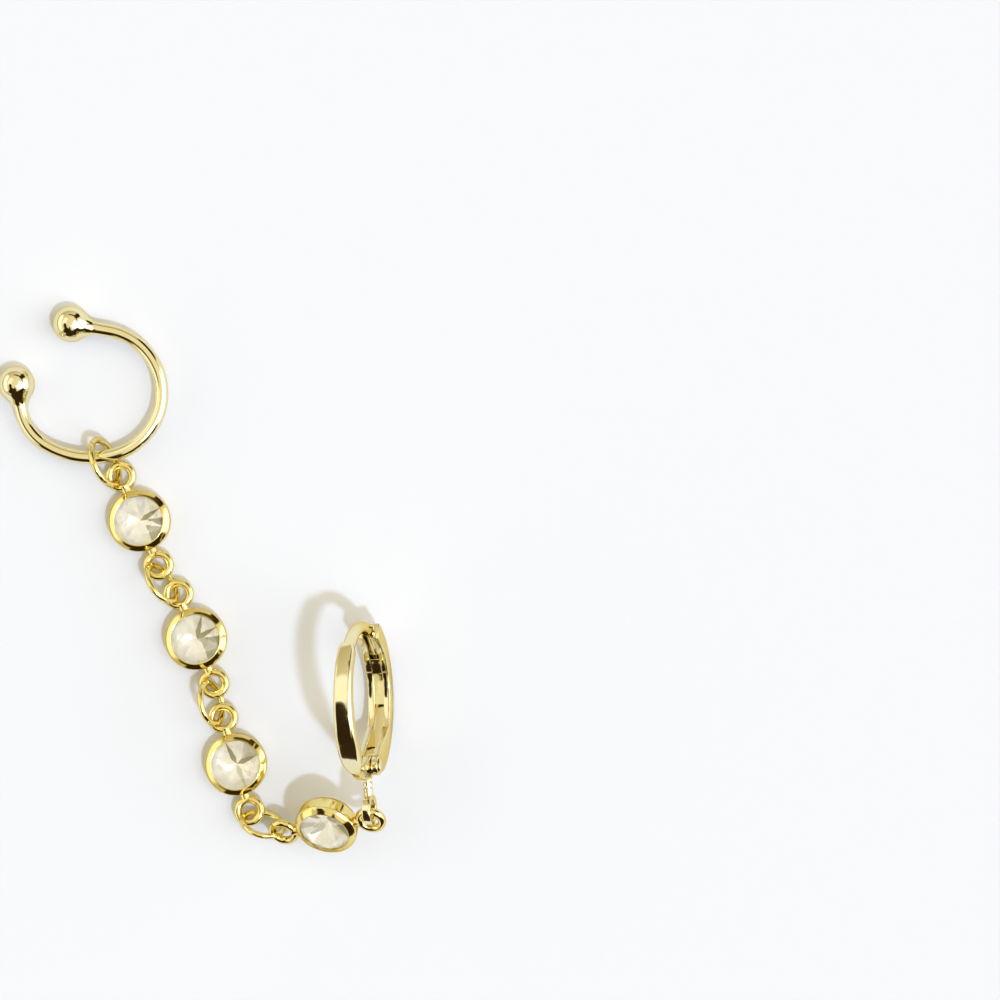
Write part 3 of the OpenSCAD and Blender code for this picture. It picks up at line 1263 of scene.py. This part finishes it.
@dataclass
class Studio:
    """Pale tent all round, bright cards and dark ones, and a soft key light from lower right."""

    paper: Material
    paper_half: float = 0.4
    tent: str = "#fff3d3"
    tent_level: float = 0.98
    shade: str = "#e9d6a4"
    shade_level: float = 0.66
    brightest: Triple = (0.62, -0.18, 0.76)
    brightening: Point = (-0.7, 0.9)
    key_colour: str = "#c6d9ff"
    key_strength: float = 1.65
    key_from: Triple = (0.29, -0.275, 0.916)
    key_angle: float = 4.0
    cards: tuple[Card, ...] = (
        Card(175, 24, 42, 14, 1.35, "#fffbea", 0.5),
        Card(156, 56, 24, 13, 1.2, "#fffbea", 0.5),
        Card(0, 20, 26, 15, 2.2, edge=0.4),
        Card(-14, 50, 24, 19, 2.6),
        Card(50, 21, 12, 20, 0.14, "#8a6a40"),
        Card(-60, 21, 29, 20, 0.12, "#8a6a40"),
        Card(-93, 34, 15, 38, 0.14, "#8a6a40", 0.3, 1.5),
        Card(-160, 58, 11, 8.5, 0.12, "#8a6a40"),
        Card(-140, 53, 9, 8, 0.12, "#8a6a40"),
        Card(-122, 39, 12, 20, 0.12, "#8a6a40"),
        Card(76, 33, 22, 4.5, 0.24, "#9a7c4c", 0.5),
        Card(24, 40, 18, 2.5, 0.4, "#9a7c4c", 0.5),
    )

    def build(self) -> None:
        """Makes the surface, the surroundings and the key light."""
        self.surface()
        self.surroundings()
        sun = bpy.data.lights.new("key", "SUN")
        sun.energy = self.key_strength
        sun.angle = radians(self.key_angle)
        sun.color = linear_colour(self.key_colour)[:3]
        lamp = add_object("key", sun)
        lamp.rotation_mode = "QUATERNION"
        lamp.rotation_quaternion = Vector(self.key_from).to_track_quat("Z", "Y")

    def surface(self) -> None:
        """Makes the plain pale floor."""
        half = self.paper_half
        data = bpy.data.meshes.new("surface")
        corners = [(-half, -half, 0), (half, -half, 0), (half, half, 0), (-half, half, 0)]
        data.from_pydata(corners, [], [(0, 1, 2, 3)])
        data.materials.append(self.paper)
        floor = add_object("surface", data)

    def surroundings(self) -> None:
        """Makes the world: the tent's even light with each card laid over it."""
        world = bpy.data.worlds.new("tent")
        bpy.context.scene.world = world
        world.use_nodes = True
        tree = world.node_tree
        tree.nodes.clear()
        where = add_node(tree, "TexCoord").outputs["Generated"]
        brightest = Vector(self.brightest).normalized()
        toward = add_node(tree, "VectorMath", DOT_PRODUCT, {0: where, 1: brightest}).outputs[DOT]
        smooth = {"interpolation_type": "SMOOTHSTEP"}
        tent = {
            SHARE: add_node(tree, "MapRange", smooth, ramp(toward, self.brightening)),
            FIRST: linear_colour(self.shade, self.shade_level),
            SECOND: linear_colour(self.tent, self.tent_level),
        }
        current = add_node(tree, "Mix", COLOUR_MIX, tent).outputs[MIXED]
        for card in self.cards:
            laid = {
                SHARE: self.mask(tree, where, card),
                FIRST: current,
                SECOND: linear_colour(card.colour, card.level),
            }
            current = add_node(tree, "Mix", COLOUR_MIX, laid).outputs[MIXED]
        back = add_node(tree, "Background", inputs={"Color": current, "Strength": 1.0})
        add_node(tree, "OutputWorld", inputs={"Surface": back})

    @staticmethod
    def mask(tree: Tree, where: Socket, card: Card) -> Node:
        """Adds the nodes that say how much of a card lies in each direction.

        Args:
            tree: the world's tree.
            where: the direction that is looked at.
            card: the card.

        Returns:
            One inside the card and zero outside, with a soft edge.
        """
        az, el = radians(card.azimuth), radians(card.elevation)
        centre = Vector((cos(az) * cos(el), sin(az) * cos(el), sin(el)))
        level = Vector((-sin(az), cos(az), 0))
        ahead, sideways, rise = (
            add_node(tree, "VectorMath", DOT_PRODUCT, {0: where, 1: axis}).outputs[DOT]
            for axis in (centre, level, centre.cross(level))
        )
        half_w = sin(radians(card.half_w))
        half_h = sin(radians(card.half_h))
        tapered = {0: rise, 1: -card.taper * half_w, 2: half_w}
        width = add_node(tree, "Math", {"operation": "MULTIPLY_ADD"}, tapered)
        # The card is a rounded oblong: its edge is where the fourth powers add up to one
        far = []
        for distance, half in ((sideways, width), (rise, half_h)):
            ratio = add_node(tree, "Math", {"operation": "DIVIDE"}, {0: distance, 1: half})
            value = ratio
            for _ in range(2):
                times = add_node(tree, "Math", {"operation": "MULTIPLY"}, {0: value, 1: value})
                value = times
            far.append(value)
        total = add_node(tree, "Math", {"operation": "ADD"}, {0: far[0], 1: far[1]})
        fading = ramp(total, (1 + card.edge, 1 - card.edge))
        inside = add_node(tree, "MapRange", {"interpolation_type": "SMOOTHSTEP"}, fading)
        front = add_node(tree, "Math", {"operation": "GREATER_THAN"}, {0: ahead, 1: 0.0})
        both = {0: inside, 1: front}
        return add_node(tree, "Math", {"operation": "MULTIPLY"}, both)


@dataclass(frozen=True)
class OverheadCamera:
    """Camera straight above the surface, framed as in the photograph."""

    above: Point = (25.17, 6.42)
    height: float = 210.0
    view_px: float = 1000.0
    px_per_mm: float = 12.0
    sensor_w: float = 36.0
    clips: Point = (0.01, 10.0)

    def build(self) -> None:
        """Makes the camera and gives it to the scene."""
        data = bpy.data.cameras.new("overhead")
        data.sensor_width = self.sensor_w
        data.lens = self.sensor_w * self.height / (self.view_px / self.px_per_mm)
        data.clip_start, data.clip_end = self.clips
        camera = add_object("overhead", data)
        camera.location = (self.above[0] * MM, self.above[1] * MM, self.height * MM)
        bpy.context.scene.camera = camera


# The whole earring


@dataclass
class Chain:
    """The settings, their stones and the jump rings between them."""

    gold: Material
    crown: Material
    pavilion: Material
    flat_places: Outline = ((-4.72, 4.69), (-0.03, -5.10), (3.29, -15.50))
    flat_turns: Triple = (113.0, 111.8, 106.0)
    raised_place: Triple = (11.01, -20.22, 3.91)
    raised_axis: Triple = (3.72, 0.70, 1.50)
    raised_tilt: float = -18.0
    # The outside and the wire of the rings between the settings, and of the ring on the cuff
    ring_d: Point = (3.9, 0.5)
    cuff_ring_d: Point = (4.46, 0.52)
    link_side: float = 0.5
    link_up: float = 0.85
    link_lean: float = 67.0
    cuff_ring_off: Triple = (-1.12, 1.14, 1.16)
    cuff_ring_lean: Point = (71.0, 22.0)
    last_ring_off: Triple = (-0.29, -0.21, 0.10)
    last_ring_lean: Point = (65.0, 74.0)

    def loop_mid(self, number: int, side: int) -> Vector:
        """The middle of one loop of a flat setting.

        Args:
            number: which flat setting, from 0 at the cuff.
            side: 1 for the loop towards the cuff, -1 for the one towards the hoop.

        Returns:
            The point.
        """
        x, y = self.flat_places[number]
        out = polar(side * Setting.loop_reach, self.flat_turns[number])
        return Vector((x + out[0], y + out[1], Setting.loop_z))

    @staticmethod
    def leaning(lean: float, turn: float) -> Vector:
        """The direction that leans away from the vertical towards a turn about it."""
        out = polar(sin(radians(lean)), turn)
        return Vector((*out, cos(radians(lean))))

    def ring_places(self) -> list[tuple[Vector, Vector]]:
        """The middle and the axis of each jump ring.

        Returns:
            The pairs, from the cuff to the raised setting.
        """
        on_cuff = self.loop_mid(0, 1) + Vector(self.cuff_ring_off)
        made = [(on_cuff, self.leaning(*self.cuff_ring_lean))]
        lean = radians(self.link_lean)
        for i in range(2):
            near, far = self.loop_mid(i, -1), self.loop_mid(i + 1, 1)
            side = (far - near).cross(UP).normalized()
            middle = (near + far) / 2 + side * self.link_side + UP * self.link_up
            made.append((middle, UP * cos(lean) - side * sin(lean)))
        raised_out = Vector(self.raised_axis).normalized() * Setting.loop_reach
        raised_loop = Vector(self.raised_place) - raised_out
        middle = (self.loop_mid(2, -1) + raised_loop) / 2 + Vector(self.last_ring_off)
        made.append((middle, self.leaning(*self.last_ring_lean)))
        return made

    def placings(self) -> list[Matrix]:
        """Where each setting goes.

        Returns:
            Three placings flat on the surface, and the fourth raised and turned aside.
        """
        made = [
            Matrix.Translation((x, y, 0)) @ Matrix.Rotation(radians(turn), 4, "Z")
            for (x, y), turn in zip(self.flat_places, self.flat_turns)
        ]
        axis = Vector(self.raised_axis).normalized()
        facing = direction(self.raised_tilt).cross(axis).normalized()
        made.append(standing(Vector(self.raised_place) - facing * Setting.loop_z, axis, facing))
        return made

    def build(self) -> None:
        """Makes the settings with their stones, and the rings."""
        for number, placing in enumerate(self.placings(), 1):
            Setting(self.gold, number, placing).build()
            Brilliant(self.crown, self.pavilion, number, placing).build()
        sizes = {"cuff_jump_ring": self.cuff_ring_d}
        sizes |= {f"link_ring_{i}": self.ring_d for i in (1, 2, 3)}
        for (name, (outside, wire)), (middle, axis) in zip(sizes.items(), self.ring_places()):
            JumpRing(self.gold, name, middle, axis, outside, wire).build()


def main() -> None:
    """Builds the earring in order and writes how large it came out."""
    logging.basicConfig(level=logging.INFO, format="%(name)s: %(message)s")
    scene = bpy.context.scene
    scene.view_settings.view_transform = "Standard"
    OverheadCamera().build()
    pale = PolishedGoldPlate("polished_pale_gold_plated_brass", "#f4edca", "#ede3b4").build()
    yellow = PolishedGoldPlate(
        "polished_yellow_gold_plated_brass", "#f3e6a4", "#ead788", edge="#d9b14e", roughness=0.085
    ).build()
    crown = CutZirconia("cut_cubic_zirconia").build()
    pavilion = BrightPavilion("painted_bright_pavilion_of_cubic_zirconia").build()
    paper = MattePaper("coated_white_paper").build()
    EarCuff(pale).build()
    Chain(yellow, crown, pavilion).build()
    place = HoopPlace()
    HoopFront(pale, place).build()
    Lever(pale, place).build()
    HingePin(pale, place).build()
    Studio(paper).build()


if __name__ == "__main__":
    main()
